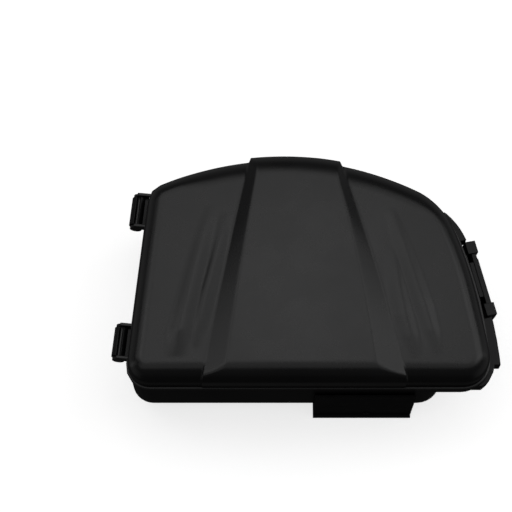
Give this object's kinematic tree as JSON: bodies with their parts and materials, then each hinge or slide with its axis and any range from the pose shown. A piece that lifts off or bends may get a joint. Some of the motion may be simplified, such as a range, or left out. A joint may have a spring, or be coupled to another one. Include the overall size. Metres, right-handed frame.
{
  "type": "air filter housing",
  "caption": "Black plastic air filter housing for a small engine: a bolt-on bowl with a hinged, arched cover, a side latch, and a pleated filter with a foam pre-cleaner inside.",
  "frame": {"origin": "on the axis of the intake port, in the plane that meets the engine", "axes": "+Z out through the cover, which is uppermost as stored; +Y to the arched edge; +X to the latch; the hinges are at -X"},
  "size_m": [0.1767, 0.1118, 0.06],
  "materials": {
    "black_plastic": "satin, finely grained",
    "black_steel": "black coated",
    "zinc_steel": "zinc plated",
    "rubber": "matte",
    "filter_rubber": "moulded polyurethane",
    "filter_paper": "resin-treated paper",
    "filter_foam": "open-cell foam"
  },
  "bodies": {
    "base": {"base_bowl": "black_plastic", "mount_sleeve_left": "zinc_steel", "mount_sleeve_right": "zinc_steel", "intake_seal": "rubber", "breather_grommet": "rubber", "support_bracket": "black_steel", "bracket_nut": "zinc_steel", "bracket_screws": "black_steel", "inlet_grille": "black_plastic", "filter_frame": "filter_rubber", "filter_paper": "filter_paper", "filter_screen": "zinc_steel", "foam_precleaner": "filter_foam", "latch_pin": "zinc_steel"},
    "cover": {"cover": "black_plastic"},
    "latch": {"latch": "black_plastic"}
  },
  "joints": [
    {"name": "cover_hinge", "type": "hinge", "parent": "base", "child": "cover", "pos_m": [-0.08117, 0.00052, 0.039], "axis": [-0.0993, -0.9951, 0], "range_deg": [0, 110]},
    {"name": "latch_pivot", "type": "hinge", "parent": "base", "child": "latch", "pos_m": [0.07955, 0.00528, 0.027], "axis": [-0.2334, 0.9724, 0], "range_deg": [-8, 35]}
  ]
}
